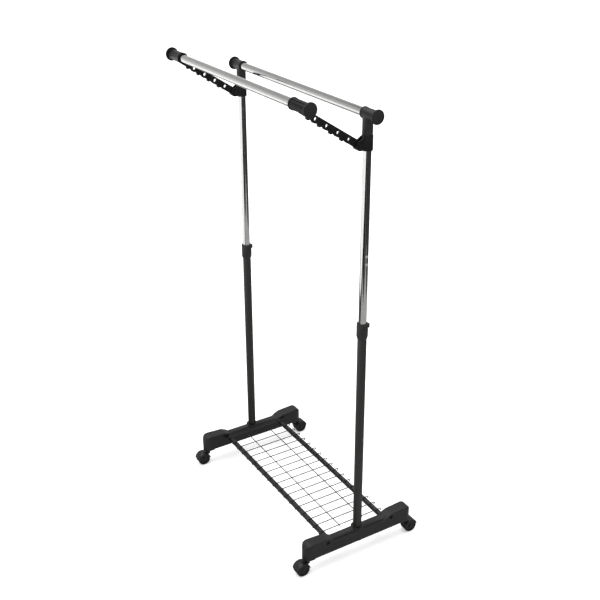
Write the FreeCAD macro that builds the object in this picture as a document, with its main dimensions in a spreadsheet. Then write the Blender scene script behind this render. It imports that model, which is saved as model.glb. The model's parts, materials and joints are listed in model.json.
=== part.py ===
import FreeCAD, Part
import os
import re
import Sketcher

# Rolling clothes rack: two castor feet, a wire shelf, two telescopic posts and two hanging bars.
# Millimetres. +X along the bars, +Z up, origin on the floor midway between the posts; -Y is the
# side that the swinging arms reach out to.

Vector = FreeCAD.Vector
doc = FreeCAD.newDocument("RollingRack")

SIZES = {
    # whole rack
    "post_spacing": 640.0,          # between the axes of the two posts
    "bar_height": 1315.5,           # axis of the main bar above the floor
    "run_gap": 0.05,                # radial clearance of a running or push fit
    "slide_gap": 0.08,              # radial clearance of the telescopic slide
    "face_gap": 0.3,                # clearance between faces that pass each other
    # foot beam
    "beam_half": 186.0,             # half of the beam's length along Y
    "beam_thick": 35.0,             # across X
    "beam_height": 34.0,            # side walls in the middle of the beam
    "castor_room": 11.0,            # top of the wheels to the underside of the beam's middle
    "beam_end_drop": 2.5,           # how much lower the underside is at the ends
    "beam_end_foot": 33.0,          # length of the lowered stretch at each end
    "beam_drop_run": 2.0,
    "beam_rise_before": 11.0,       # from where the top starts to rise out to the rail's axis
    "beam_rise_run": 10.0,
    "beam_rise": 7.0,
    "shoulder_beyond": 15.0,        # from the rail's axis out to the raised end
    "shoulder_rise": 14.0,          # heights above the side walls in the middle
    "end_rise": 19.0,
    "beam_end_radius": 22.0,        # rounding of the upper outer corner
    "beam_edge_radius": 3.0,
    "ridge_radius": 12.5,           # round ridge along the middle of the top
    "ridge_rise": 7.0,
    "trough_width": 2.5,            # shaded groove on both sides of the ridge
    "trough_depth": 6.0,
    "trough_gap": 0.9,              # from the boss to the start of the groove
    "trough_stop": 2.0,             # from the end of the groove to the rise
    "boss_wall": 6.1,               # round boss that the post stands in
    "boss_rise": 8.5,
    "recess_beyond": 14.0,          # square recess in both faces, outside the rail's axis
    "recess_rise": 3.0,
    "recess_side": 10.0,
    "recess_depth": 4.0,
    "core_wall": 4.0,               # hollows in the underside
    "core_depth": 20.0,
    "core_post_rib": 15.5,          # from the lower post out to the first hollow
    "core_rail_rib_inner": 15.0,    # from the rail's axis to the hollows beside it
    "core_rail_rib_outer": 19.0,
    "core_stem_rib": 21.0,          # from the second hollow out to the swivel axis
    # posts
    "chrome_radius": 11.0,          # posts and both bars are one tube size
    "chrome_wall": 1.0,
    "telescope_gap": 0.3,           # chrome post inside the lower post
    "lower_wall": 1.2,
    "lower_length": 686.0,
    "post_seat": 9.0,               # underside of the foot to the end of the lower post
    "foot_plate": 4.0,              # welded plate across the lower post's foot
    "chrome_overlap": 186.0,        # how deep the chrome post stands in the lower post
    "chrome_lower_length": 379.0,
    "post_web": 6.0,                # plastic between the post's top and the main bar
    "guide_flange": 4.0,
    "guide_stub": 15.0,
    "post_screw_radius": 3.0,
    "post_screw_head": 5.5,
    "screw_head_height": 3.5,
    "head_sink": 4.0,               # depth of the counterbore for a screw head
    "post_screw_reach": 12.0,
    # height lock
    "collar_wall": 3.0,
    "collar_foot_wall": 1.1,
    "collar_taper": 8.0,
    "collar_grip": 33.0,            # how far the collar reaches down over the lower post
    "collar_head": 11.0,            # and how far it stands above the lower post
    "collar_lip": 3.0,
    "collar_tab": 3.5,
    "collar_tab_width": 7.0,
    "collar_tab_height": 11.0,
    "collar_tab_turn": 58.0,        # direction of the tab, in degrees from +X
    "bush_flare": 0.9,              # how much wider the grip bush is than the lower post
    "bush_slit": 1.5,
    # snap buttons
    "joiner_half": 40.0,
    "joiner_wall": 1.2,
    "button_pitch": 22.0,
    "button_radius": 3.95,
    "button_proud": 2.4,            # how far the dome stands out of the chrome
    "button_dome": 5.5,
    "button_flange": 1.0,
    "button_flange_radius": 5.0,
    "button_flange_gap": 0.23,      # from the flange's rim to the joiner's bore
    "spring_thick": 0.6,
    "spring_width": 7.0,
    "spring_back_gap": 0.38,        # from the rear leg's corners to the joiner's bore
    "spring_half": 18.0,
    # bar connectors and main bar
    "tee_inner": 15.0,              # how far the barrel reaches inwards from the post
    "tee_outer": 38.0,
    "tee_wall": 3.0,
    "tee_rim": 1.0,
    "tee_rim_width": 3.0,
    "neck_wall": 2.5,
    "neck_drop": 50.5,              # main bar's axis down to the end of the connector's neck
    "bar_end_gap": 2.0,             # from the end of a bar to the disc of its cap
    "cap_plug": 12.0,
    "cap_thick": 4.0,
    "cap_edge": 1.6,
    "cap_flare": 7.5,               # how much wider the disc is than the tube
    # arm brackets
    "clamp_wall": 3.5,
    "clamp_gap": 1.0,               # below the connector's neck
    "clamp_height": 37.0,
    "cheek_wall": 4.0,
    "cheek_margin": 2.5,            # how far the cheeks stand out round the arm's root
    "cheek_foot": 2.5,              # from the cheeks' underside to the clamp's
    "cheek_top_gap": 1.5,           # from the cheeks' top to the clamp's
    "pivot_clear": 0.5,             # between the arm's root and the clamp
    "pivot_radius": 3.0,
    "pivot_head_radius": 3.8,
    "pivot_head": 1.8,
    "stop_gap": 0.2,
    # arms and second bar
    "arm_rise": 33.6,               # degrees above the horizontal, at rest on the stop
    "arm_length": 204.5,            # pivot to the axis of the second bar
    "arm_thick": 9.0,
    "arm_root": 10.0,               # half height at the pivot
    "arm_tip": 7.5,                 # half height at the sleeve
    "hole_radius": 5.0,
    "hole_first": 36.0,             # pivot to the first hanger hole
    "hole_end": 56.0,               # last hanger hole to the axis of the second bar
    "hole_boss": 10.6,
    "nub_radius": 4.0,
    "sleeve_lift": 6.0,             # second bar's axis above the line of the holes
    "sleeve_inner": 24.0,
    "sleeve_outer": 47.0,
    "sleeve_wall": 3.25,
    "sleeve_rim_wall": 4.5,
    "sleeve_rim_width": 4.0,
    "sleeve_slot": 2.6,
    "slot_turn": 68.0,              # degrees from the arm's underside to the slot
    "second_cap_flare": 7.75,
    # shelf
    "rail_radius": 8.0,
    "rail_wall": 1.0,
    "rail_reach": 97.0,             # |Y| of the two rails
    "rail_drop": 5.0,               # below the top of the side walls
    "rail_insert": 20.0,
    "rail_screw_radius": 2.0,
    "rail_screw_head": 4.0,
    "rail_screw_head_height": 2.5,
    "wire_radius": 1.4,
    "wire_gap": 0.1,
    "wire_margin": 16.0,            # inner face of a foot to the nearest cross wire
    "hook_gap": 2.2,                # outside of a rail to the middle of a hook's curl
    "hook_radius": 3.2,
    "hook_sweep": 185.0,
    "long_wire_reach": 39.0,
    # castors
    "wheel_radius": 20.0,
    "wheel_width": 11.5,
    "wheel_gap": 0.4,
    "wheel_edge": 2.5,
    "wheel_rim": 5.0,               # flat rim round the dished face
    "hub_wall": 4.0,
    "dish_depth": 2.0,
    "axle_radius": 3.0,
    "web_thick": 5.0,
    "web_inset": 4.0,               # how much smaller the web is than the wheels
    "hood_wall": 1.3,
    "hood_gap": 0.5,
    "hood_lip": 2.0,                # the hood's rim above the wheel axis
    "hood_side": 0.4,
    "castor_inset": 15.0,           # end of the beam to the swivel axis
    "trail_short": 0.5,             # how much less than a wheel's radius the axle trails
    "stem_pin_radius": 4.0,
    "stem_pin_below": 16.5,         # the stem below and above the underside of the beam
    "stem_pin_above": 29.0,
    "stem_flange_radius": 7.0,
    "stem_flange": 1.2,
    "stem_flange_gap": 0.4,
    "castor_boss_radius": 7.5,
    "grip_below_top": 8.0,          # top of the stem down to its grip ring
    "grip_thick": 2.0,
    "grip_depth": 0.8,
}

CROSS_WIRES = 18
HANGER_HOLES = 4

# Places and sizes that follow from the ones above; a name here stands for its formula.
DERIVED = {
    "beam_floor": "2 * wheel_radius + castor_room",
    "beam_mid_top": "beam_floor + beam_height",
    "beam_drop_at": "beam_half - beam_end_foot",
    "beam_rise_at": "rail_reach - beam_rise_before",
    "beam_shoulder_at": "rail_reach + shoulder_beyond",
    "beam_shoulder_top": "beam_mid_top + shoulder_rise",
    "beam_end_top": "beam_mid_top + end_rise",
    "ridge_top": "beam_mid_top + ridge_rise",
    "trough_floor": "beam_mid_top - trough_depth",
    "trough_start": "boss_radius + trough_gap",
    "trough_end": "beam_rise_at - trough_stop",
    "boss_radius": "lower_radius + boss_wall",
    "boss_top": "beam_mid_top + boss_rise",
    "recess_at": "rail_reach + recess_beyond",
    "recess_height": "beam_mid_top + recess_rise",
    "core_inner_at": "lower_radius + core_post_rib",
    "core_inner_end": "rail_reach - core_rail_rib_inner",
    "core_outer_at": "rail_reach + core_rail_rib_outer",
    "core_outer_end": "castor_stem_at - core_stem_rib",
    "rail_height": "beam_mid_top - rail_drop",
    "castor_stem_at": "beam_half - castor_inset",
    "castor_trail": "wheel_radius - trail_short",
    "dish_outer": "wheel_radius - wheel_rim",
    "dish_inner": "axle_radius + hub_wall",
    "web_radius": "wheel_radius - web_inset",
    "stem_pin_foot": "beam_floor - stem_pin_below",
    "stem_pin_top": "beam_floor + stem_pin_above",
    "grip_height": "stem_pin_top - grip_below_top",
    "lower_radius": "chrome_radius + telescope_gap + lower_wall",
    "lower_foot": "beam_floor + post_seat",
    "lower_top": "lower_foot + lower_length",
    "chrome_foot": "lower_top - chrome_overlap",
    "chrome_seam": "chrome_foot + chrome_lower_length",
    "collar_radius": "lower_radius + collar_wall",
    "collar_foot_radius": "lower_radius + collar_foot_wall",
    "collar_bottom": "lower_top - collar_grip",
    "collar_top": "lower_top + collar_head",
    "bush_radius": "lower_radius + bush_flare",
    "joiner_radius": "chrome_radius - chrome_wall - run_gap",
    "joiner_bore": "joiner_radius - joiner_wall",
    "button_seat": "sqrt((joiner_bore - button_flange_gap)^2 - button_flange_radius^2) - button_flange",
    "spring_back": "sqrt((joiner_bore - spring_back_gap)^2 - (spring_width / 2)^2)",
    "tee_radius": "chrome_radius + tee_wall",
    "stem_radius": "chrome_radius + neck_wall",
    "stem_bottom": "bar_height - neck_drop",
    "cap_radius": "chrome_radius + cap_flare",
    "second_cap_radius": "chrome_radius + second_cap_flare",
    "clamp_radius": "chrome_radius + clamp_wall",
    "clamp_top": "stem_bottom - clamp_gap",
    "clamp_bottom": "clamp_top - clamp_height",
    "cheek_radius": "arm_root + cheek_margin",
    "cheek_inner": "arm_thick / 2 + face_gap",
    "cheek_outer": "cheek_inner + cheek_wall",
    "pivot_reach": "clamp_radius + arm_root + pivot_clear",
    "pivot_height": "clamp_bottom + cheek_foot + cheek_radius",
    "hole_pitch": "(arm_length - hole_first - hole_end) / %d" % (HANGER_HOLES - 1),
    "sleeve_radius": "chrome_radius + sleeve_wall",
    "sleeve_rim_radius": "chrome_radius + sleeve_rim_wall",
    "second_reach": "-pivot_reach - arm_length * cos(arm_rise) + sleeve_lift * sin(arm_rise)",
    "second_height": "pivot_height + arm_length * sin(arm_rise) + sleeve_lift * cos(arm_rise)",
    "wire_height": "rail_height + rail_radius + wire_radius + wire_gap",
    "hook_reach": "rail_reach + rail_radius + hook_gap",
}

SIDES = {"left": -1, "right": 1}
ENDS = {"front": -1, "rear": 1}

sheet = doc.addObject("Spreadsheet::Sheet", "Sizes")
for row, (alias, value) in enumerate(SIZES.items(), start=1):
    sheet.set("A%d" % row, alias)
    sheet.set("B%d" % row, str(value))
    sheet.setAlias("B%d" % row, alias)
doc.recompute()

AXIS_TURN = {
    "X": FreeCAD.Rotation(Vector(0, 1, 0), 90),
    "Y": FreeCAD.Rotation(Vector(1, 0, 0), -90),
    "Z": FreeCAD.Rotation(),
}
subparts = []


def formula(text):
    """An expression on the sheet's cells, from one written with the plain names."""
    def cell(match):
        word = match.group()
        if word in DERIVED:
            return "(%s)" % formula(DERIVED[word])
        return "Sizes." + word if word in SIZES else word
    return re.sub(r"[a-z_]+", cell, str(text))


def number(text):
    return float(sheet.evalExpression(formula(text)))


def bind(item, **formulas):
    for prop, text in formulas.items():
        item.setExpression(prop, formula(text))
    return item


def place(item, start, turn=FreeCAD.Rotation()):
    item.Placement = FreeCAD.Placement(Vector(), turn)
    for letter, text in zip("xyz", start):
        item.setExpression("Placement.Base." + letter, formula(text))
    return item


def cylinder(name, radius, length, start, axis="Z"):
    item = doc.addObject("Part::Cylinder", name)
    bind(item, Radius=radius, Height=length)
    return place(item, start, AXIS_TURN[axis])


def cone(name, radius_low, radius_high, length, start):
    item = doc.addObject("Part::Cone", name)
    bind(item, Radius1=radius_low, Radius2=radius_high, Height=length)
    return place(item, start)


def box(name, low, high):
    """A box from its lowest to its highest corner."""
    item = doc.addObject("Part::Box", name)
    spans = ["(%s) - (%s)" % (top, bottom) for bottom, top in zip(low, high)]
    bind(item, Length=spans[0], Width=spans[1], Height=spans[2])
    return place(item, low)


def fuse(name, items):
    item = doc.addObject("Part::MultiFuse", name)
    item.Shapes = items
    return item


def cut(name, base, tools):
    item = doc.addObject("Part::Cut", name)
    item.Base = base
    item.Tool = tools[0] if len(tools) == 1 else fuse(name + "_tools", tools)
    return item


def common(name, first, second):
    item = doc.addObject("Part::Common", name)
    item.Base = first
    item.Tool = second
    return item


def ring(name, outer, inner, length, start, axis="Z"):
    body = cylinder(name + "_outside", outer, length, start, axis)
    return cut(name, body, [cylinder(name + "_bore", inner, length, start, axis)])


def subpart(node, item):
    """Marks an object as a finished sub-part under its own label."""
    item.Label = node
    subparts.append(item)
    return item


def group(node, items):
    """Loose solids of one kind, kept apart in one sub-part."""
    item = doc.addObject("Part::Compound", node + "_group")
    item.Links = items
    return subpart(node, item)


def span(side, inner, outer, axis="post_spacing / 2"):
    """Start and length along X of a stretch measured outwards from an axis on one side."""
    near = inner if side > 0 else "-(%s)" % outer
    return "%d * (%s) + (%s)" % (side, axis, near), "(%s) - (%s)" % (outer, inner)


def span_box(name, side, inner, outer, low, high, axis="post_spacing / 2"):
    """A box whose X runs outwards from an axis; low and high give its Y and Z."""
    start, length = span(side, inner, outer, axis)
    return box(name, (start,) + low, ("%s + %s" % (start, length),) + high)


def post_x(side):
    return "%d * post_spacing / 2" % side


def outline(body, name, points):
    """A closed sketch on the body's YZ plane with every corner bound to the sheet."""
    sketch = body.newObject("Sketcher::SketchObject", name)
    plane = next(item for item in body.Origin.OriginFeatures if item.Role == "YZ_Plane")
    sketch.AttachmentSupport = [(plane, "")]
    sketch.MapMode = "FlatFace"
    corners = [Vector(number(across), number(up), 0) for across, up in points]
    count = len(corners)
    for index, corner in enumerate(corners):
        sketch.addGeometry(Part.LineSegment(corner, corners[(index + 1) % count]))
    for index in range(count):
        sketch.addConstraint(Sketcher.Constraint("Coincident", index, 2, (index + 1) % count, 1))
    for index, texts in enumerate(points):
        for kind, text in zip(("DistanceX", "DistanceY"), texts):
            place_in_list = sketch.addConstraint(
                Sketcher.Constraint(kind, -1, 1, index, 1, number(text)))
            sketch.setExpression("Constraints[%d]" % place_in_list, formula(text))
    return sketch


def padded(name, points, width):
    """A body padded evenly to both sides of the YZ plane from one outline."""
    body = doc.addObject("PartDesign::Body", name)
    pad = body.newObject("PartDesign::Pad", name + "_pad")
    pad.Profile = outline(body, name + "_outline", points)
    pad.SideType = "Symmetric"
    bind(pad, Length=width)
    doc.recompute()
    return body


def rounded(body, wanted, radius):
    """Fillets the edges of the body's tip that the test picks out."""
    tip = body.Tip
    names = ["Edge%d" % (index + 1) for index, edge in enumerate(tip.Shape.Edges) if wanted(edge)]
    fillet = body.newObject("PartDesign::Fillet", body.Name + "_round")
    fillet.Base = (tip, names)
    bind(fillet, Radius=radius)
    doc.recompute()
    return body


# ---------------------------------------------------------------- foot beams

def beam_body(name):
    half = [
        ("beam_drop_at", "beam_floor"),
        ("beam_drop_at + beam_drop_run", "beam_floor - beam_end_drop"),
        ("beam_half", "beam_floor - beam_end_drop"),
        ("beam_half", "beam_end_top"),
        ("beam_shoulder_at", "beam_shoulder_top"),
        ("beam_rise_at + beam_rise_run", "beam_mid_top + beam_rise"),
        ("beam_rise_at", "beam_mid_top"),
    ]
    mirrored = [("-(%s)" % across, up) for across, up in reversed(half)]
    body = padded(name, half + mirrored, "beam_thick")
    reach, top = number("beam_half"), number("beam_end_top")
    side, low = number("beam_thick / 2"), number("beam_floor")

    def end_corner(edge):
        middle = edge.CenterOfMass
        return abs(abs(middle.y) - reach) < 0.01 and abs(middle.z - top) < 0.01

    def upper_rim(edge):
        middle = edge.CenterOfMass
        return abs(abs(middle.x) - side) < 0.01 and middle.z > low + 1

    rounded(body, end_corner, "beam_end_radius")
    return rounded(body, upper_rim, "beam_edge_radius")


def beam_plan(name):
    """The beam's outline from above: straight sides and half-round ends."""
    straight = "beam_half - beam_thick / 2"
    middle = box(name + "_middle", ("-beam_thick / 2", "-(%s)" % straight, 0),
                 ("beam_thick / 2", straight, "2 * beam_mid_top"))
    ends = [cylinder("%s_%s" % (name, end), "beam_thick / 2", "2 * beam_mid_top",
                     (0, "%d * (%s)" % (way, straight), 0))
            for end, way in ENDS.items()]
    return fuse(name, [middle] + ends)


def trough(name, side):
    """Grooves beside the ridge, stopped before the post's boss and before the raised ends."""
    ridge_axis = "ridge_top - ridge_radius"
    tools = []
    for end, way in ENDS.items():
        low = "trough_start" if way > 0 else "-trough_end"
        start = (post_x(side), low, ridge_axis)
        length = "trough_end - trough_start"
        groove = ring("%s_%s_groove" % (name, end), "ridge_radius + trough_width", "ridge_radius",
                      length, start, "Y")
        above = box("%s_%s_above" % (name, end),
                    ("%s - beam_thick" % post_x(side), low, "trough_floor"),
                    ("%s + beam_thick" % post_x(side), "%s + %s" % (low, length), "beam_end_top"))
        tools.append(common("%s_%s_trough" % (name, end), groove, above))
    return tools


def beam_cores(name, side):
    """Hollows under the beam, between its ribs."""
    half_width, roof = "beam_thick / 2 - core_wall", "beam_floor + core_depth"
    tools = []
    for end, way in ENDS.items():
        for place_name in ("inner", "outer"):
            near, far = "core_%s_at" % place_name, "core_%s_end" % place_name
            low, high = (near, far) if way > 0 else ("-" + far, "-" + near)
            tools.append(box("%s_%s_%s_core" % (name, end, place_name),
                             ("%s - (%s)" % (post_x(side), half_width), low, "beam_floor - beam_end_drop"),
                             ("%s + %s" % (post_x(side), half_width), high, roof)))
    return tools


def beam_recesses(name, side):
    """Square recesses in both faces, just outside the rails."""
    tools = []
    for end, way in ENDS.items():
        middle = "%d * recess_at" % way
        for face in (-1, 1):
            surface = "%s + %d * beam_thick / 2" % (post_x(side), face)
            tools.append(box("%s_%s_recess%d" % (name, end, face),
                             ("%s - recess_depth" % surface, "%s - recess_side / 2" % middle,
                              "recess_height - recess_side / 2"),
                             ("%s + recess_depth" % surface, "%s + recess_side / 2" % middle,
                              "recess_height + recess_side / 2")))
    return tools


def beam_sockets(name, side):
    """Holes for the post, its screw, the rails, their screws and the castor stems."""
    x = post_x(side)
    tools = [
        cylinder(name + "_post_socket", "lower_radius + run_gap", "boss_top - lower_foot + 1",
                 (x, 0, "lower_foot")),
        cylinder(name + "_screw_way", "post_screw_radius + run_gap", "lower_foot - beam_floor + 1",
                 (x, 0, "beam_floor - 0.5")),
        cylinder(name + "_head_way", "post_screw_head + face_gap", "head_sink + 1",
                 (x, 0, "beam_floor - 1")),
    ]
    for end, way in ENDS.items():
        tag = "%s_%s" % (name, end)
        start, length = span(side, "-beam_thick / 2 - 1", "-beam_thick / 2 + rail_insert + face_gap")
        screw_x = "%d * (post_spacing / 2 - beam_thick / 2 + rail_insert / 2)" % side
        rail_y, stem_y = "%d * rail_reach" % way, "%d * castor_stem_at" % way
        tools += [
            cylinder(tag + "_rail_socket", "rail_radius + run_gap", length,
                     (start, rail_y, "rail_height"), "X"),
            cylinder(tag + "_rail_screw_way", "rail_screw_radius + run_gap",
                     "rail_height - beam_floor", (screw_x, rail_y, "beam_floor - 0.5")),
            cylinder(tag + "_rail_head_way", "rail_screw_head + face_gap", "head_sink + 1",
                     (screw_x, rail_y, "beam_floor - 1")),
            cylinder(tag + "_stem_socket", "stem_pin_radius + run_gap",
                     "stem_pin_top + 2 - beam_floor + beam_end_drop + 1",
                     (x, stem_y, "beam_floor - beam_end_drop - 1")),
            cylinder(tag + "_grip_groove", "stem_pin_radius + grip_depth + run_gap",
                     "grip_thick + 2 * run_gap", (x, stem_y, "grip_height - run_gap")),
        ]
    return tools


def make_beam(side_name, side):
    name = "beam_" + side_name
    profile = common(name + "_profile", beam_body(name + "_body"), beam_plan(name + "_plan"))
    body = place(profile, (post_x(side), 0, 0))
    ridge = cylinder(name + "_ridge", "ridge_radius", "2 * (beam_rise_at + beam_rise_run)",
                     (post_x(side), "-beam_rise_at - beam_rise_run", "ridge_top - ridge_radius"), "Y")
    boss = cylinder(name + "_boss", "boss_radius", "boss_top - beam_floor",
                    (post_x(side), 0, "beam_floor"))
    solid = fuse(name + "_solid", [body, ridge, boss])
    tools = trough(name, side) + beam_cores(name, side) + beam_recesses(name, side)
    subpart("base_beam_" + side_name, cut(name + "_cut", solid, tools + beam_sockets(name, side)))


# ---------------------------------------------------------------- lower posts and shelf

def make_lower_post(side_name, side):
    name = "lower_post_" + side_name
    x = post_x(side)
    outside = cylinder(name + "_outside", "lower_radius", "lower_top - lower_foot",
                       (x, 0, "lower_foot"))
    inside = cylinder(name + "_inside", "lower_radius - lower_wall",
                      "lower_top - lower_foot - foot_plate", (x, 0, "lower_foot + foot_plate"))
    screw_way = cylinder(name + "_screw_way", "post_screw_radius + run_gap", "foot_plate + 1",
                         (x, 0, "lower_foot - 0.5"))
    subpart(name, cut(name + "_cut", outside, [inside, screw_way]))


def screw(name, x, y, top, sizes):
    """A pan-head screw let into the underside of a foot, pointing up."""
    radius, head_radius, head_height = sizes
    head = cylinder(name + "_head", head_radius, head_height,
                    (x, y, "beam_floor + head_sink - %s" % head_height))
    shank = cylinder(name + "_shank", radius, "%s - beam_floor - head_sink" % top,
                     (x, y, "beam_floor + head_sink"))
    return fuse(name, [head, shank])


def make_screws():
    post_sizes = ("post_screw_radius", "post_screw_head", "screw_head_height")
    rail_sizes = ("rail_screw_radius", "rail_screw_head", "rail_screw_head_height")
    group("post_screws", [
        screw("post_screw_" + side_name, post_x(side), 0, "lower_foot + post_screw_reach", post_sizes)
        for side_name, side in SIDES.items()])
    group("rail_screws", [
        screw("rail_screw_%s_%s" % (side_name, end),
              "%d * (post_spacing / 2 - beam_thick / 2 + rail_insert / 2)" % side,
              "%d * rail_reach" % way, "rail_height", rail_sizes)
        for side_name, side in SIDES.items() for end, way in ENDS.items()])


def make_rail(end, way):
    name = "shelf_rail_" + end
    half = "(post_spacing / 2 - beam_thick / 2 + rail_insert)"
    start = ("-" + half, "%d * rail_reach" % way, "rail_height")
    tube = ring(name + "_tube", "rail_radius", "rail_radius - rail_wall", "2 * " + half, start, "X")
    screw_ways = [
        cylinder("%s_%s_way" % (name, side_name), "rail_screw_radius + run_gap", "rail_radius",
                 ("%d * (post_spacing / 2 - beam_thick / 2 + rail_insert / 2)" % side,
                  "%d * rail_reach" % way, "rail_height - rail_radius - 1"))
        for side_name, side in SIDES.items()]
    subpart(name, cut(name + "_cut", tube, screw_ways))


def hook(name, x, way):
    """The end of a cross wire, curled down just outside a rail."""
    item = doc.addObject("Part::Torus", name)
    bind(item, Radius1="hook_radius", Radius2="wire_radius", Angle3="hook_sweep")
    turn = FreeCAD.Rotation(Vector(0, 0, 1), Vector(0, way, 0), Vector(-way, 0, 0), "ZXY")
    return place(item, (x, "%d * hook_reach" % way, "wire_height - hook_radius"), turn)


def make_wires():
    half_run = "(post_spacing / 2 - beam_thick / 2 - wire_margin)"
    cross_wires = []
    for index in range(CROSS_WIRES):
        name = "cross_wire_%02d" % (index + 1)
        x = "%s * %r" % (half_run, 2.0 * index / (CROSS_WIRES - 1) - 1.0)
        straight = cylinder(name + "_run", "wire_radius", "2 * hook_reach",
                            (x, "-hook_reach", "wire_height"), "Y")
        hooks = [hook("%s_%s" % (name, end), x, way) for end, way in ENDS.items()]
        cross_wires.append(fuse(name, [straight] + hooks))
    group("shelf_cross_wires", cross_wires)
    group("shelf_long_wires", [
        cylinder("long_wire_" + end, "wire_radius", "2 * (%s + wire_radius)" % half_run,
                 ("-%s - wire_radius" % half_run, "%d * long_wire_reach" % way,
                  "wire_height - 2 * wire_radius"), "X")
        for end, way in ENDS.items()])


# ---------------------------------------------------------------- castors

def wheel(name, start_x, y, dish_x):
    """A solid plastic wheel with a dished outer face."""
    disc = cylinder(name + "_disc", "wheel_radius", "wheel_width", (start_x, y, "wheel_radius"), "X")
    fillet = doc.addObject("Part::Fillet", name + "_tread")
    fillet.Base = disc
    doc.recompute()
    edge_radius = number("wheel_edge")
    rims = [index + 1 for index, edge in enumerate(disc.Shape.Edges)
            if edge.Curve.TypeId == "Part::GeomCircle"]
    fillet.Edges = [(index, edge_radius, edge_radius) for index in rims]
    dish = ring(name + "_dish", "dish_outer", "dish_inner", "2 * dish_depth",
                ("%s - dish_depth" % dish_x, y, "wheel_radius"), "X")
    bore = cylinder(name + "_bore", "axle_radius + run_gap", "wheel_width + 2",
                    ("%s - 1" % start_x, y, "wheel_radius"), "X")
    return subpart(name, cut(name + "_cut", fillet, [dish, bore]))


def hood(name, x, stem_y, axle_y):
    """The castor's body: a web between the wheels, a curved hood over them and the stem's boss."""
    hood_radius = "(wheel_radius + hood_gap + hood_wall)"
    half_width = "(web_thick / 2 + wheel_gap + wheel_width + hood_side)"
    barrel = cylinder(name + "_barrel", hood_radius, "2 * " + half_width,
                      ("%s - %s" % (x, half_width), axle_y, "wheel_radius"), "X")
    upper = box(name + "_upper",
                ("%s - %s - 1" % (x, half_width), "%s - 2 * wheel_radius" % axle_y,
                 "wheel_radius + hood_lip"),
                ("%s + %s + 1" % (x, half_width), "%s + 2 * wheel_radius" % axle_y, "3 * wheel_radius"))
    cover = common(name + "_cover", barrel, upper)
    web = cylinder(name + "_web", "web_radius", "web_thick",
                   ("%s - web_thick / 2" % x, axle_y, "wheel_radius"), "X")
    boss_top = "beam_floor - beam_end_drop - stem_flange - 2 * stem_flange_gap"
    boss = cylinder(name + "_boss", "castor_boss_radius", "%s - stem_pin_foot + 2" % boss_top,
                    (x, stem_y, "stem_pin_foot - 2"))
    solid = fuse(name + "_solid", [cover, web, boss])
    wheel_rooms = [
        cylinder("%s_room%d" % (name, side), "wheel_radius + hood_gap", "wheel_radius",
                 (span(side, "web_thick / 2", "web_thick / 2 + wheel_radius", "0")[0] + " + " + x,
                  axle_y, "wheel_radius"), "X")
        for side in (-1, 1)]
    axle_way = cylinder(name + "_axle_way", "axle_radius + run_gap", "2 * web_thick",
                        ("%s - web_thick" % x, axle_y, "wheel_radius"), "X")
    stem_way = cylinder(name + "_stem_way", "stem_pin_radius", "%s - stem_pin_foot + 1" % boss_top,
                        (x, stem_y, "stem_pin_foot"))
    return subpart(name, cut(name + "_cut", solid, wheel_rooms + [axle_way, stem_way]))


def stem(name, x, stem_y):
    """The swivel stem, with a flange under the foot and a groove for the grip ring."""
    pin = cylinder(name + "_pin", "stem_pin_radius", "stem_pin_top - stem_pin_foot",
                   (x, stem_y, "stem_pin_foot"))
    flange = cylinder(name + "_flange", "stem_flange_radius", "stem_flange",
                      (x, stem_y, "beam_floor - beam_end_drop - stem_flange - stem_flange_gap"))
    groove = ring(name + "_groove", "stem_pin_radius + 1", "stem_pin_radius - grip_depth",
                  "grip_thick + 2 * run_gap", (x, stem_y, "grip_height - run_gap"))
    return subpart(name, cut(name + "_cut", fuse(name + "_solid", [pin, flange]), [groove]))


def make_castor(side_name, side, end, way):
    tag = "%s_%s" % (end, side_name)
    x, stem_y = post_x(side), "%d * castor_stem_at" % way
    axle_y = "%d * (castor_stem_at + castor_trail)" % way
    stem("castor_stem_" + tag, x, stem_y)
    hood("castor_hood_" + tag, x, stem_y, axle_y)
    axle_half = "(web_thick / 2 + wheel_gap + wheel_width - dish_depth)"
    subpart("castor_axle_" + tag,
            cylinder("castor_axle_cyl_" + tag, "axle_radius", "2 * " + axle_half,
                     ("%s - %s" % (x, axle_half), axle_y, "wheel_radius"), "X"))
    for wheel_side, away in (("inner", -side), ("outer", side)):
        near, far = "web_thick / 2 + wheel_gap", "web_thick / 2 + wheel_gap + wheel_width"
        start = "%s + %s" % (x, span(away, near, far, "0")[0])
        wheel("castor_wheel_%s_%s" % (tag, wheel_side), start, axle_y, "%s + %d * (%s)" % (x, away, far))


def make_grip_rings():
    group("castor_grip_rings", [
        ring("grip_ring_%s_%s" % (end, side_name), "stem_pin_radius + grip_depth",
             "stem_pin_radius - grip_depth + run_gap", "grip_thick",
             (post_x(side), "%d * castor_stem_at" % way, "grip_height"))
        for side_name, side in SIDES.items() for end, way in ENDS.items()])


# ---------------------------------------------------------------- height locks

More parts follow.
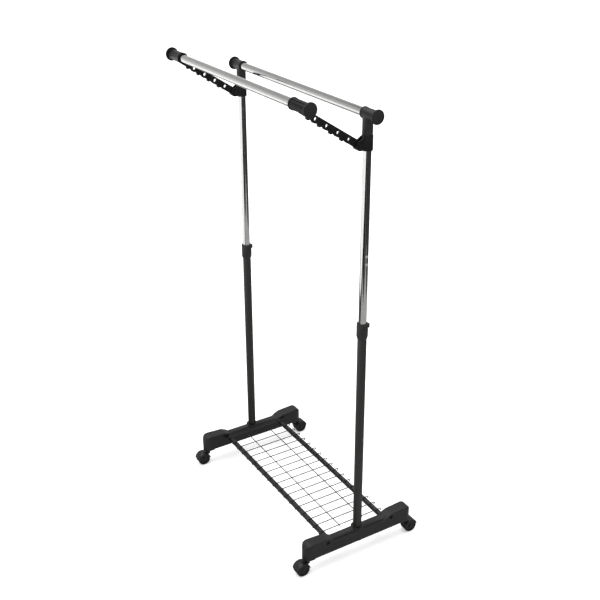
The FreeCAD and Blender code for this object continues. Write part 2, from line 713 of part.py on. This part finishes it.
def make_collar(side_name, side):
    name = "height_collar_" + side_name
    x = post_x(side)
    taper = cone(name + "_taper", "collar_foot_radius", "collar_radius", "collar_taper",
                 (x, 0, "collar_bottom"))
    barrel = cylinder(name + "_barrel", "collar_radius", "collar_top - collar_bottom - collar_taper",
                      (x, 0, "collar_bottom + collar_taper"))
    tab = doc.addObject("Part::Box", name + "_tab")
    bind(tab, Length="collar_radius + collar_tab", Width="collar_tab_width", Height="collar_tab_height")
    tab_turn = FreeCAD.Rotation(Vector(0, 0, 1), number("collar_tab_turn"))
    place(tab, ("%s + collar_tab_width / 2 * sin(collar_tab_turn)" % x,
                "-collar_tab_width / 2 * cos(collar_tab_turn)", "collar_top - collar_tab_height"), tab_turn)
    solid = fuse(name + "_solid", [taper, barrel, tab])
    tools = [
        cylinder(name + "_low_bore", "lower_radius + slide_gap", "lower_top - collar_bottom + 1",
                 (x, 0, "collar_bottom - 1")),
        cylinder(name + "_chamber", "bush_radius + run_gap", "collar_top - collar_lip - lower_top",
                 (x, 0, "lower_top")),
        cylinder(name + "_lip_bore", "chrome_radius + face_gap", "collar_lip + 2",
                 (x, 0, "collar_top - collar_lip - 1")),
    ]
    subpart(name, cut(name + "_cut", solid, tools))


def make_bushes():
    """Split grip bushes that stand on the lower posts inside the collars."""
    bushes = []
    for side_name, side in SIDES.items():
        name = "grip_bush_" + side_name
        height = "collar_top - collar_lip - lower_top - 2 * face_gap"
        start = (post_x(side), 0, "lower_top + face_gap")
        whole = ring(name + "_ring", "bush_radius", "chrome_radius + slide_gap", height, start)
        slit = box(name + "_slit", ("%s - bush_slit / 2" % post_x(side), 0, "lower_top"),
                   ("%s + bush_slit / 2" % post_x(side), "collar_radius", "collar_top"))
        bushes.append(cut(name, whole, [slit]))
    group("collar_bushes", bushes)


# ---------------------------------------------------------------- chrome posts and snap buttons

def button_height(section):
    return "chrome_seam %s button_pitch / 2" % ("-" if section == "lower" else "+")


def button_way(name, side, section):
    start, length = span(side, "chrome_radius / 2", "chrome_radius + 5")
    return cylinder(name, "button_radius + run_gap", length, (start, 0, button_height(section)), "X")


def make_chrome(side_name, side):
    ends = {"lower": ("chrome_foot", "chrome_seam"),
            "upper": ("chrome_seam", "bar_height - chrome_radius - post_web")}
    for section, (bottom, top) in ends.items():
        name = "chrome_%s_%s" % (section, side_name)
        tube = ring(name + "_tube", "chrome_radius", "chrome_radius - chrome_wall",
                    "%s - %s" % (top, bottom), (post_x(side), 0, bottom))
        subpart(name, cut(name + "_cut", tube, [button_way(name + "_way", side, section)]))


def make_joiner(side_name, side):
    name = "post_joiner_" + side_name
    tube = ring(name + "_tube", "joiner_radius", "joiner_bore", "2 * joiner_half",
                (post_x(side), 0, "chrome_seam - joiner_half"))
    ways = [button_way("%s_%s_way" % (name, section), side, section) for section in ("lower", "upper")]
    subpart(name, cut(name + "_cut", tube, ways))


def make_button(side_name, side, section):
    name = "snap_button_%s_%s" % (section, side_name)
    height = button_height(section)
    start, length = span(side, "button_seat", "chrome_radius + button_proud")
    shank = cylinder(name + "_shank", "button_radius", length, (start, 0, height), "X")
    ball = doc.addObject("Part::Sphere", name + "_ball")
    bind(ball, Radius="button_dome")
    ball_x = "%d * (post_spacing / 2 + chrome_radius + button_proud - button_dome)" % side
    place(ball, (ball_x, 0, height), AXIS_TURN["X"])
    flange_start, flange_length = span(side, "button_seat", "button_seat + button_flange")
    flange = cylinder(name + "_flange", "button_flange_radius", flange_length,
                      (flange_start, 0, height), "X")
    subpart(name, fuse(name + "_solid", [common(name + "_dome", shank, ball), flange]))


def make_spring(side_name, side):
    """A bent strip that presses both buttons of one post outwards."""
    name = "button_spring_" + side_name
    bottom, top = "chrome_seam - spring_half", "chrome_seam + spring_half"
    front = "(button_seat - run_gap)"
    low, high = ("-spring_width / 2", bottom), ("spring_width / 2", top)
    legs = [
        span_box(name + "_front", side, "%s - spring_thick" % front, front, low, high),
        span_box(name + "_back", side, "-spring_back", "-spring_back + spring_thick", low, high),
    ]
    bend_radius = "(%s + spring_back) / 2" % front
    bend_x = "%d * (post_spacing / 2 + (%s - spring_back) / 2)" % (side, front)
    bend = ring(name + "_ring", bend_radius, "%s - spring_thick" % bend_radius, "spring_width",
                (bend_x, "-spring_width / 2", bottom), "Y")
    below = box(name + "_below",
                ("%s - chrome_radius" % bend_x, "-spring_width", "%s - chrome_radius" % bottom),
                ("%s + chrome_radius" % bend_x, "spring_width", bottom))
    subpart(name, fuse(name + "_strip", legs + [common(name + "_bend", bend, below)]))


def make_guides():
    plugs = []
    for side_name, side in SIDES.items():
        name = "guide_plug_" + side_name
        flange = cylinder(name + "_flange", "lower_radius - lower_wall - slide_gap", "guide_flange",
                          (post_x(side), 0, "chrome_foot - guide_flange"))
        stub = cylinder(name + "_stub", "joiner_radius", "guide_stub",
                        (post_x(side), 0, "chrome_foot"))
        plugs.append(fuse(name, [flange, stub]))
    group("post_guide_plugs", plugs)


# ---------------------------------------------------------------- main bar

def make_tee(side_name, side):
    name = "bar_connector_" + side_name
    start, length = span(side, "-tee_inner", "tee_outer")
    rim_start, rim_length = span(side, "-tee_inner", "-tee_inner + tee_rim_width")
    barrel = cylinder(name + "_barrel", "tee_radius", length, (start, 0, "bar_height"), "X")
    rim = cylinder(name + "_rim", "tee_radius + tee_rim", rim_length, (rim_start, 0, "bar_height"), "X")
    neck = cylinder(name + "_neck", "stem_radius", "bar_height - stem_bottom",
                    (post_x(side), 0, "stem_bottom"))
    bar_way = cylinder(name + "_bar_way", "chrome_radius + run_gap", "%s + 2" % length,
                       ("%s - 1" % start, 0, "bar_height"), "X")
    post_way = cylinder(name + "_post_way", "chrome_radius + run_gap",
                        "bar_height - chrome_radius - post_web + run_gap - stem_bottom + 1",
                        (post_x(side), 0, "stem_bottom - 1"))
    solid = fuse(name + "_solid", [barrel, rim, neck])
    subpart(name, cut(name + "_cut", solid, [bar_way, post_way]))


def bar(node, end_reach, y, z):
    half = "(post_spacing / 2 + %s - bar_end_gap)" % end_reach
    subpart(node, ring(node + "_tube", "chrome_radius", "chrome_radius - chrome_wall", "2 * " + half,
                       ("-" + half, y, z), "X"))


def cap(node, side, seat, radius, y, z):
    """A round end cap: a disc with a softened outer edge and a plug inside the tube."""
    disc_start, disc_length = span(side, seat, "%s + cap_thick" % seat)
    disc = cylinder(node + "_disc", radius, disc_length, (disc_start, y, z), "X")
    fillet = doc.addObject("Part::Fillet", node + "_edge")
    fillet.Base = disc
    doc.recompute()
    outer_x = side * number("post_spacing / 2 + %s + cap_thick" % seat)
    edge_radius = number("cap_edge")
    rims = [index + 1 for index, edge in enumerate(disc.Shape.Edges)
            if abs(edge.CenterOfMass.x - outer_x) < 0.01]
    fillet.Edges = [(index, edge_radius, edge_radius) for index in rims]
    plug_start, plug_length = span(side, "%s - bar_end_gap - cap_plug" % seat, seat)
    plug = cylinder(node + "_plug", "joiner_radius", plug_length, (plug_start, y, z), "X")
    subpart(node, fuse(node + "_solid", [fillet, plug]))


# ---------------------------------------------------------------- brackets and arms

ARM_TURN = FreeCAD.Rotation(Vector(-1, 0, 0), number("arm_rise"))


def cheek(name, side, away):
    """One of the two plates that hold the pivot, sloping up from its round nose to the clamp."""
    start, length = span(away, "cheek_inner", "cheek_outer", "0")
    x = "%s + %s" % (post_x(side), start)
    nose = cylinder(name + "_nose", "cheek_radius", length, (x, "-pivot_reach", "pivot_height"), "X")
    low, high = "pivot_height - cheek_radius", "clamp_top - cheek_top_gap"
    plate = padded(name + "_plate", [
        ("-pivot_reach", low),
        ("-1", low),
        ("-1", high),
        ("1 - clamp_radius", high),
        ("-pivot_reach", "pivot_height + cheek_radius"),
    ], "cheek_wall")
    middle = "%s + %d * (cheek_inner + cheek_outer) / 2" % (post_x(side), away)
    return [nose, place(plate, (middle, 0, 0))]


def make_bracket(side_name, side):
    name = "arm_bracket_" + side_name
    x = post_x(side)
    clamp = cylinder(name + "_clamp", "clamp_radius", "clamp_top - clamp_bottom", (x, 0, "clamp_bottom"))
    cheeks = cheek(name + "_inner", side, -1) + cheek(name + "_outer", side, 1)
    disc = cylinder(name + "_stop_disc", "cheek_radius", "2 * cheek_inner",
                    ("%s - cheek_inner" % x, "-pivot_reach", "pivot_height"), "X")
    below = doc.addObject("Part::Box", name + "_stop_below")
    bind(below, Length="6 * arm_thick", Width="4 * arm_root", Height="2 * arm_root")
    drop = "(3 * arm_root + stop_gap)"
    place(below, ("%s - 3 * arm_thick" % x,
                  "-pivot_reach - 2 * arm_root * cos(arm_rise) - %s * sin(arm_rise)" % drop,
                  "pivot_height + 2 * arm_root * sin(arm_rise) - %s * cos(arm_rise)" % drop), ARM_TURN)
    stop = common(name + "_stop", disc, below)
    solid = fuse(name + "_solid", [clamp, stop] + cheeks)
    post_way = cylinder(name + "_post_way", "chrome_radius + run_gap", "clamp_top - clamp_bottom + 2",
                        (x, 0, "clamp_bottom - 1"))
    pivot_way = cylinder(name + "_pivot_way", "pivot_radius + run_gap", "4 * cheek_outer",
                         ("%s - 2 * cheek_outer" % x, "-pivot_reach", "pivot_height"), "X")
    subpart(name, cut(name + "_cut", solid, [post_way, pivot_way]))


def make_pivot_pins():
    pins = []
    for side_name, side in SIDES.items():
        name = "pivot_pin_" + side_name
        pin = cylinder(name + "_pin", "pivot_radius", "2 * cheek_outer",
                       ("%s - cheek_outer" % post_x(side), "-pivot_reach", "pivot_height"), "X")
        heads = []
        for away in (-1, 1):
            start, length = span(away, "cheek_outer", "cheek_outer + pivot_head", "0")
            heads.append(cylinder("%s_head%d" % (name, away), "pivot_head_radius", length,
                                  ("%s + %s" % (post_x(side), start), "-pivot_reach", "pivot_height"),
                                  "X"))
        pins.append(fuse(name, [pin] + heads))
    group("arm_pivot_pins", pins)


def arm_bar(name):
    """The flat bar, drawn level and pointing to -Y from its pivot at the origin."""
    points = [
        ("-1", "arm_root"),
        ("-arm_length", "arm_tip"),
        ("-arm_length", "-arm_tip"),
        ("-1", "-arm_root"),
    ]
    return padded(name, points, "arm_thick")


def across_arm(name, radius, along, up):
    return cylinder(name, radius, "arm_thick", ("-arm_thick / 2", "-(%s)" % along, up), "X")


def arm_edge(along):
    """Half height of the tapering bar at a distance from the pivot."""
    return "arm_root - (arm_root - arm_tip) * (%s) / arm_length" % along


def make_arm(side_name, side):
    name = "swing_arm_" + side_name
    pieces = [arm_bar(name + "_bar"), across_arm(name + "_root", "arm_root", "0", "0")]
    holes = [across_arm(name + "_pivot_way", "pivot_radius + run_gap", "0", "0")]
    for index in range(HANGER_HOLES):
        along = "hole_first + %d * hole_pitch" % index
        pieces.append(across_arm("%s_boss%d" % (name, index), "hole_boss", along, "0"))
        pieces.append(across_arm("%s_nub%d" % (name, index), "nub_radius", along + " + hole_pitch / 2",
                                 "-(%s)" % arm_edge(along + " + hole_pitch / 2")))
        holes.append(across_arm("%s_hole%d" % (name, index), "hole_radius", along, "0"))
    start, length = span(side, "-sleeve_inner", "sleeve_outer", "0")
    rim_start, rim_length = span(side, "-sleeve_inner", "-sleeve_inner + sleeve_rim_width", "0")
    tip = ("-arm_length", "sleeve_lift")
    pieces.append(cylinder(name + "_sleeve", "sleeve_radius", length, (start,) + tip, "X"))
    pieces.append(cylinder(name + "_rim", "sleeve_rim_radius", rim_length, (rim_start,) + tip, "X"))
    holes.append(cylinder(name + "_bar_way", "chrome_radius + run_gap", "%s + 2" % length,
                          ("%s - 1" % start,) + tip, "X"))
    above = box(name + "_above", ("-arm_thick", "-arm_length", "0"),
                ("arm_thick", "arm_root", "4 * arm_root"))
    upper_trim = cut(name + "_upper_trim", above, [arm_bar(name + "_trim_bar"),
                     across_arm(name + "_trim_root", "arm_root", "0", "0"),
                     cylinder(name + "_trim_sleeve", "sleeve_rim_radius", "4 * arm_thick",
                              ("-2 * arm_thick",) + tip, "X")])
    holes.append(upper_trim)
    if side > 0:
        slot = doc.addObject("Part::Box", name + "_slot")
        bind(slot, Length=length, Width="sleeve_slot", Height="2 * sleeve_radius")
        turn = number("slot_turn")
        place(slot, ("%s + sleeve_rim_width" % start, "-arm_length - sleeve_slot / 2", "sleeve_lift"),
              FreeCAD.Rotation(Vector(1, 0, 0), turn))
        holes.append(slot)
    arm = cut(name + "_cut", fuse(name + "_solid", pieces), holes)
    subpart(name, place(arm, (post_x(side), "-pivot_reach", "pivot_height"), ARM_TURN))


# ---------------------------------------------------------------- assembly

for side_name, side in SIDES.items():
    make_beam(side_name, side)
    make_lower_post(side_name, side)
    make_collar(side_name, side)
    make_chrome(side_name, side)
    make_joiner(side_name, side)
    make_spring(side_name, side)
    for section in ("lower", "upper"):
        make_button(side_name, side, section)
    make_tee(side_name, side)
    cap("main_bar_cap_" + side_name, side, "tee_outer", "cap_radius", 0, "bar_height")
    make_bracket(side_name, side)
    make_arm(side_name, side)
    cap("second_bar_cap_" + side_name, side, "sleeve_outer", "second_cap_radius",
        "second_reach", "second_height")
    for end, way in ENDS.items():
        make_castor(side_name, side, end, way)

bar("main_bar", "tee_outer", 0, "bar_height")
bar("second_bar", "sleeve_outer", "second_reach", "second_height")
for end, way in ENDS.items():
    make_rail(end, way)
make_screws()
make_wires()
make_grip_rings()
make_bushes()
make_guides()
make_pivot_pins()
doc.recompute()

failed = [item.Name for item in doc.Objects if {"Invalid", "Error"} & set(item.State)]
failed += [item.Label for item in subparts if item.Shape.isNull() or not item.Shape.isValid()]
if failed:
    raise RuntimeError("not built: " + ", ".join(failed))

os.makedirs("parts", exist_ok=True)
for item in subparts:
    item.Shape.exportStep("parts/%s.step" % item.Label)
print("%d sub-parts" % len(subparts))
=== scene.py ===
import json
import math
import bmesh
import bpy
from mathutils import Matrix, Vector


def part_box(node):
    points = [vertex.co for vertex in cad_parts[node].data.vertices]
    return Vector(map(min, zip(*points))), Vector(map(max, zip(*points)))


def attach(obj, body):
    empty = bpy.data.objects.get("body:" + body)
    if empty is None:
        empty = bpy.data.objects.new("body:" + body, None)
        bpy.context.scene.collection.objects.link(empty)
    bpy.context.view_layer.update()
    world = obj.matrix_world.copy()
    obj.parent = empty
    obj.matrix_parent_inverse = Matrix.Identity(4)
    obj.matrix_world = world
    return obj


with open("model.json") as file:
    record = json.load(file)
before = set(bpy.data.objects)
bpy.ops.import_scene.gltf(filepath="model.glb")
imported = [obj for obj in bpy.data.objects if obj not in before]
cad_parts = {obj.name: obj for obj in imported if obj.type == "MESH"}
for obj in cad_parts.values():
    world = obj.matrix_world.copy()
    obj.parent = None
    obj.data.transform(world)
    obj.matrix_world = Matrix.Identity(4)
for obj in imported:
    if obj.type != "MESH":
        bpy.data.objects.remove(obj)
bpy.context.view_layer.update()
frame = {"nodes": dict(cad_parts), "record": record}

record = frame["record"]
nodes = frame["nodes"]
scene = bpy.context.scene
print("stage: frame loaded,", len(nodes), "nodes")


class Wire:  # one output socket, with arithmetic that adds nodes
    def __init__(self, graph, socket):
        self.graph = graph
        self.socket = socket

    def maths(self, operation, other, swapped=False):
        pair = (other, self) if swapped else (self, other)
        return self.graph.node("ShaderNodeMath", {"operation": operation}, {0: pair[0], 1: pair[1]})

    def __add__(self, other):
        return self.maths("ADD", other)

    def __radd__(self, other):
        return self.maths("ADD", other, True)


class Graph:  # a material's node tree, written as plain calls
    def __init__(self, name):
        self.material = bpy.data.materials.new(name)
        self.material.use_nodes = True
        self.tree = self.material.node_tree
        self.shader = self.tree.nodes["Principled BSDF"]
        self.place = self.node("ShaderNodeTexCoord", output="Object")

    def node(self, kind, settings=None, inputs=None, output=0):
        made = self.tree.nodes.new(kind)
        for name, value in (settings or {}).items():
            setattr(made, name, value)
        for name, value in (inputs or {}).items():
            self.feed(made.inputs[name], value)
        return Wire(self, made.outputs[output])

    def feed(self, socket, value):
        if isinstance(value, Wire):
            self.tree.links.new(value.socket, socket)
        else:
            socket.default_value = value

    def noise(self, scale, detail=3.0, rough=0.5, stretch=None):
        spot = self.place if stretch is None else self.node(
            "ShaderNodeVectorMath", {"operation": "MULTIPLY"}, {0: self.place, 1: stretch})
        return self.node("ShaderNodeTexNoise", {"noise_dimensions": "4D"},
                         {"Vector": spot, "Scale": scale, "Detail": detail, "Roughness": rough})

    def between(self, wire, low, high, toLow=0.0, toHigh=1.0):
        return self.node("ShaderNodeMapRange", None,
                         {0: wire, 1: low, 2: high, 3: toLow, 4: toHigh})

    def blend(self, factor, first, second):
        return self.node("ShaderNodeMix", {"data_type": "RGBA"}, {0: factor, 6: first, 7: second}, 2)

    def bump(self, height, strength, distance, under=None):
        inputs = {"Strength": strength, "Distance": distance, "Height": height}
        if under is not None:
            inputs["Normal"] = under
        return self.node("ShaderNodeBump", None, inputs)

    def finish(self, **sockets):
        for name, value in sockets.items():
            self.feed(self.shader.inputs[name.replace("_", " ")], value)
        return self.material


def grey(level, warm=0.0):
    return (level * (1 + warm), level, level * (1 - warm), 1.0)


def footPlastic():  # moulded nylon of the feet
    g = Graph("footPlastic")
    grain = g.noise(2600.0, 2.0)
    cloud = g.noise(14.0, 4.0, 0.6)
    colour = g.blend(g.between(cloud, 0.3, 0.7), grey(0.0095, 0.02), grey(0.0135, 0.02))
    sink = g.noise(38.0, 1.0)
    under = g.bump(sink, 0.12, 0.0012)
    return g.finish(Base_Color=colour, Roughness=g.between(grain, 0.3, 0.7, 0.40, 0.52),
                    Normal=g.bump(grain, 0.16, 0.00008, under), Specular_IOR_Level=0.28)


def tubePaint():  # powder coat of the lower tubes
    g = Graph("tubePaint")
    peel = g.noise(900.0, 2.0, 0.45)
    cloud = g.noise(9.0, 3.0, 0.5, (1.0, 1.0, 0.25))
    colour = g.blend(g.between(cloud, 0.3, 0.7), grey(0.012, 0.05), grey(0.018, 0.05))
    return g.finish(Base_Color=colour, Roughness=g.between(cloud, 0.3, 0.7, 0.38, 0.46),
                    Normal=g.bump(peel, 0.2, 0.0001), Specular_IOR_Level=0.35)


def connectorPlastic():  # T connectors, caps and collars
    g = Graph("connectorPlastic")
    grain = g.noise(3200.0, 2.0)
    cloud = g.noise(22.0, 3.0, 0.55)
    colour = g.blend(g.between(cloud, 0.3, 0.7), grey(0.012), grey(0.017))
    return g.finish(Base_Color=colour, Roughness=g.between(grain, 0.3, 0.7, 0.36, 0.46),
                    Normal=g.bump(grain, 0.14, 0.00006), Specular_IOR_Level=0.28)


def armPlastic():  # arms and brackets, a deeper black
    g = Graph("armPlastic")
    grain = g.noise(3000.0, 2.0)
    cloud = g.noise(30.0, 3.0, 0.6)
    colour = g.blend(g.between(cloud, 0.3, 0.7), grey(0.005), grey(0.008))
    return g.finish(Base_Color=colour, Roughness=g.between(cloud, 0.3, 0.7, 0.34, 0.46),
                    Normal=g.bump(grain, 0.16, 0.00007), Specular_IOR_Level=0.2)


def chromePlate():  # plated tube, drawn along its length
    g = Graph("chromePlate")
    haze = g.noise(60.0, 4.0, 0.6)
    specks = g.noise(1400.0, 2.0)
    wave = g.noise(7.0, 1.0)
    colour = g.blend(g.between(haze, 0.35, 0.7), grey(0.64, 0.004), grey(0.58, 0.014))
    return g.finish(Base_Color=colour, Metallic=1.0,
                    Roughness=(g.between(haze, 0.3, 0.75, 0.05, 0.11)
                               + g.between(specks, 0.6, 0.8, 0.0, 0.04)),
                    Normal=g.bump(wave, 0.05, 0.0006))


def plainSteel(name="plainSteel", level=0.45, rough=0.34):  # zinc plated fasteners, stems and axles
    g = Graph(name)
    spangle = g.noise(420.0, 3.0, 0.6)
    colour = g.blend(g.between(spangle, 0.3, 0.7), grey(level), grey(level * 0.72))
    return g.finish(Base_Color=colour, Metallic=1.0,
                    Roughness=g.between(spangle, 0.3, 0.7, rough, rough + 0.14),
                    Normal=g.bump(spangle, 0.1, 0.0001))


def castorPlastic(name="castorPlastic", low=0.009, high=0.015, rough=0.36):  # hoods and wheels
    g = Graph(name)
    grain = g.noise(2800.0, 2.0)
    scuff = g.noise(90.0, 5.0, 0.7)
    colour = g.blend(g.between(scuff, 0.45, 0.75), grey(low), grey(high))
    return g.finish(Base_Color=colour, Roughness=g.between(scuff, 0.3, 0.7, rough, rough + 0.14),
                    Normal=g.bump(grain, 0.15, 0.00008), Specular_IOR_Level=0.3)


def shelfPaint():  # glossy stove enamel on rails and wires
    g = Graph("shelfPaint")
    peel = g.noise(700.0, 2.0, 0.5)
    cloud = g.noise(25.0, 2.0)
    colour = g.blend(g.between(cloud, 0.3, 0.7), grey(0.006), grey(0.010))
    return g.finish(Base_Color=colour, Roughness=g.between(cloud, 0.3, 0.7, 0.24, 0.32),
                    Normal=g.bump(peel, 0.2, 0.00012), Specular_IOR_Level=0.4)


def naturalNylon():  # unseen bushes and guide plugs
    g = Graph("naturalNylon")
    cloud = g.noise(60.0, 3.0)
    colour = g.blend(g.between(cloud, 0.3, 0.7), (0.62, 0.60, 0.54, 1.0), (0.70, 0.68, 0.62, 1.0))
    return g.finish(Base_Color=colour, Roughness=g.between(cloud, 0.3, 0.7, 0.4, 0.55),
                    Normal=g.bump(g.noise(1800.0), 0.1, 0.0001))


finishes = {
    "foot_plastic": footPlastic(),
    "black_tube": tubePaint(),
    "black_plastic": connectorPlastic(),
    "bracket_plastic": armPlastic(),
    "chrome": chromePlate(),
    "plain_steel": plainSteel(),
    "spring_steel": plainSteel("springSteel", 0.3, 0.3),
    "button_steel": plainSteel("buttonSteel", 0.75, 0.12),
    "pin_steel": plainSteel("pinSteel", 0.06, 0.34),
    "castor_plastic": castorPlastic(),
    "wheel_plastic": castorPlastic("wheelPlastic", 0.008, 0.013, 0.42),
    "shelf_metal": shelfPaint(),
    "inner_plastic": naturalNylon(),
}
slotOf = {entry["node"]: entry["material_slot"] for entry in record["subparts"]}
print("stage: materials made")


softening = {"weld": 0.000002, "flat": 0.4, "sharp": 30.0, "segments": 2}  # metres, degrees


def soften(piece, width):  # joins flat facets, then rounds the sharp edges
    weld = piece.modifiers.new("join", "WELD")
    weld.merge_threshold = softening["weld"]
    flat = piece.modifiers.new("flatten", "DECIMATE")
    flat.decimate_type = "DISSOLVE"
    flat.angle_limit = math.radians(softening["flat"])
    edge = piece.modifiers.new("edges", "BEVEL")
    edge.width = width
    edge.segments = softening["segments"]
    edge.limit_method = "ANGLE"
    edge.angle_limit = math.radians(softening["sharp"])
    edge.harden_normals = True
    edge.use_clamp_overlap = True


edgeWidths = {  # metres of rounding, by the start of the node's name
    "base_beam": 0.0011, "arm_bracket": 0.0007, "swing_arm": 0.0006, "height_collar": 0.0006,
    "bar_connector": 0.0006, "main_bar_cap": 0.0006, "second_bar_cap": 0.0006,
    "castor_hood": 0.0005, "castor_wheel": 0.0004, "lower_post": 0.0003, "arm_pivot_pins": 0.0005,
}

for name, piece in nodes.items():
    piece.data.materials.clear()
    piece.data.materials.append(finishes[slotOf[name]])
    for start, width in edgeWidths.items():
        if name.startswith(start):
            soften(piece, width)
print("stage: nodes painted")


hubCap = {"radius": 0.0066, "proud": 0.0011, "root": 0.0006, "corner": 0.0007, "cornerSteps": 4,
          "dimple": 0.0032, "lip": 0.0005, "crown": 0.0001, "sink": 0.0004, "turns": 40}


def lathe(name, profile, turns):  # a turned piece about X, from (along, radius) pairs
    mesh = bmesh.new()
    rings = []
    for along, radius in profile:
        if radius < 1e-6:
            rings.append([mesh.verts.new((along, 0.0, 0.0))])
        else:
            rings.append([mesh.verts.new((along, radius * math.cos(k * math.tau / turns),
                                          radius * math.sin(k * math.tau / turns))) for k in range(turns)])
    for low, high in zip(rings, rings[1:]):
        for k in range(turns):
            after = k + 1
            corners = [low[k % len(low)], low[after % len(low)],
                       high[after % len(high)], high[k % len(high)]]
            mesh.faces.new(list(dict.fromkeys(corners)))
    bmesh.ops.recalc_face_normals(mesh, faces=mesh.faces)
    data = bpy.data.meshes.new(name)
    mesh.to_mesh(data)
    mesh.free()
    data.shade_smooth()
    piece = bpy.data.objects.new(name, data)
    scene.collection.objects.link(piece)
    return piece


def addHubCap(wheelNode):  # a shallow domed cap that hides the axle's end
    low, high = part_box(wheelNode)
    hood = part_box(wheelNode.replace("wheel", "hood").rsplit("_", 1)[0])
    outward = 1.0 if (low[0] + high[0]) > (hood[0][0] + hood[1][0]) else -1.0
    face = high[0] if outward > 0 else low[0]
    c = hubCap
    profile = [(-c["root"], c["radius"]), (c["proud"] - c["corner"], c["radius"])]
    for k in range(1, c["cornerSteps"] + 1):
        bend = k * math.pi / (2 * c["cornerSteps"])
        profile.append((c["proud"] - c["corner"] * (1 - math.sin(bend)),
                        c["radius"] - c["corner"] * (1 - math.cos(bend))))
    profile += [(c["proud"] + c["crown"], c["dimple"] + c["lip"]),
                (c["proud"] - c["sink"], c["dimple"]), (c["proud"] - c["sink"], 0.0)]
    piece = lathe("hubCap_" + wheelNode.replace("castor_wheel_", ""),
                  [(along * outward, radius) for along, radius in profile], c["turns"])
    piece.location = (face, (low[1] + high[1]) / 2, (low[2] + high[2]) / 2)
    piece.data.materials.append(finishes["wheel_plastic"])
    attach(piece, wheelNode.replace("castor_wheel", "wheel"))


for name in nodes:
    if name.startswith("castor_wheel"):
        addHubCap(name)
print("stage: hub caps made")


studio = {"floorHalf": 14.0, "floorGlow": 0.3, "sun": 2.7, "sunAngle": 75.0,
          "sunLean": (8.0, -6.0), "turn": 59.0}
mainView = {"azimuth": 58.86, "elevation": 25.71, "roll": -0.28, "distance": 2.786, "lens": 57.33,
            "sensor": 36.0}
aim = Vector((-0.0015, 0.0031, 0.6924))


def addCamera():
    turn, rise = math.radians(mainView["azimuth"]), math.radians(mainView["elevation"])
    ahead = Vector((-math.sin(turn) * math.cos(rise), math.cos(turn) * math.cos(rise), -math.sin(rise)))
    data = bpy.data.cameras.new("camera")
    data.lens = mainView["lens"]
    data.sensor_width = mainView["sensor"]
    data.dof.use_dof = False
    camera = bpy.data.objects.new("camera", data)
    scene.collection.objects.link(camera)
    camera.location = aim - ahead * mainView["distance"]
    facing = ahead.to_track_quat("-Z", "Y").to_matrix().to_4x4()
    camera.rotation_euler = facing.to_euler()
    camera.rotation_euler.rotate_axis("Z", math.radians(mainView["roll"]))
    scene.camera = camera


def floorPaperAndReflectionCard(name, level, glow=0.0):  # the floor's seamless studio sheet, and the flat grey of the reflection cards, which paint reflections into the plated tubes
    g = Graph(name)
    cloud = g.noise(3.0, 2.0)
    colour = g.blend(g.between(cloud, 0.3, 0.7), grey(level), grey(level * 0.97))
    return g.finish(Base_Color=colour, Roughness=g.between(cloud, 0.3, 0.7, 0.8, 0.9),
                    Normal=g.bump(g.noise(800.0), 0.03, 0.0001), Specular_IOR_Level=0.0,
                    Emission_Color=grey(1.0), Emission_Strength=glow)


# a flat sheet, in metres along the studio's own directions
def addSheet(name, near, far, left, right, lift, level, glow=0.0):
    turn = math.radians(studio["turn"])
    front = Vector((math.sin(turn), -math.cos(turn), 0.0))
    side = Vector((math.cos(turn), math.sin(turn), 0.0))
    corners = [front * a + side * b for a, b in ((near, left), (far, left), (far, right), (near, right))]
    mesh = bpy.data.meshes.new(name)
    mesh.from_pydata([(spot.x, spot.y, lift) for spot in corners], [], [(0, 1, 2, 3)])
    sheet = bpy.data.objects.new(name, mesh)
    sheet.data.materials.append(floorPaperAndReflectionCard(name, level, glow))
    scene.collection.objects.link(sheet)
    return sheet


reflectionCards = {  # painted reflections: sheets hidden from the camera, from diffuse light and from shadows, which only the plated tubes and other glossy surfaces mirror: near, far, left, right, height, grey
    "greyPaper": (-14.0, 14.0, -14.0, 14.0, 0.004, 0.36),
    "blackFront": (2.0, 12.0, -12.0, 12.0, 0.005, 0.012),
    "blackRight": (-5.0, 12.0, 1.9, 12.0, 0.006, 0.035),
    "greyStrip": (2.0, 12.0, 0.25, 1.0, 0.0065, 0.09),
    "whiteLeft": (-6.0, 6.0, -9.0, -1.6, 0.007, 0.97),
    "blackLeft": (-6.0, 2.0, -1.6, -1.15, 0.008, 0.04),
}


def addFloorAndReflectionCards():
    half = studio["floorHalf"]
    addSheet("floor", -half, half, -half, half, 0.0, 0.93, studio["floorGlow"])
    for name, sizes in reflectionCards.items():
        card = addSheet(name, *sizes)
        # each card is a painted reflection: a dark, grey or white sheet lying on the white floor, seen
        # only in glossy reflections
        card.visible_camera = False
        card.visible_diffuse = False
        card.visible_shadow = False


def addWorld():  # bright along the horizon and overhead, dimmer between
    world = bpy.data.worlds.new("studio")
    scene.world = world
    world.use_nodes = True
    tree = world.node_tree
    make, join = tree.nodes.new, tree.links.new
    place, split = make("ShaderNodeTexCoord"), make("ShaderNodeSeparateXYZ")
    join(place.outputs["Generated"], split.inputs[0])
    level = make("ShaderNodeValToRGB")
    join(split.outputs["Z"], level.inputs["Fac"])
    steps = [(0.0, 0.95), (0.08, 0.9), (0.3, 0.62), (0.58, 0.45),
             (0.62, 0.12), (0.70, 0.12), (0.8, 0.9), (1.0, 1.1)]
    ramp = level.color_ramp
    while len(ramp.elements) < len(steps):
        ramp.elements.new(0.5)
    for element, (spot, value) in zip(ramp.elements, steps):
        element.position = spot
        element.color = grey(value)
    join(level.outputs["Color"], tree.nodes["Background"].inputs["Color"])
    tree.nodes["Background"].inputs["Strength"].default_value = 1.0


def addSun():
    data = bpy.data.lights.new("overhead", "SUN")
    data.energy = studio["sun"]
    data.angle = math.radians(studio["sunAngle"])
    lamp = bpy.data.objects.new("overhead", data)
    lamp.rotation_euler = (*map(math.radians, studio["sunLean"]), 0.0)
    scene.collection.objects.link(lamp)


addCamera()
addFloorAndReflectionCards()
addWorld()
addSun()
scene.view_settings.view_transform = "Standard"
print("stage: studio set")
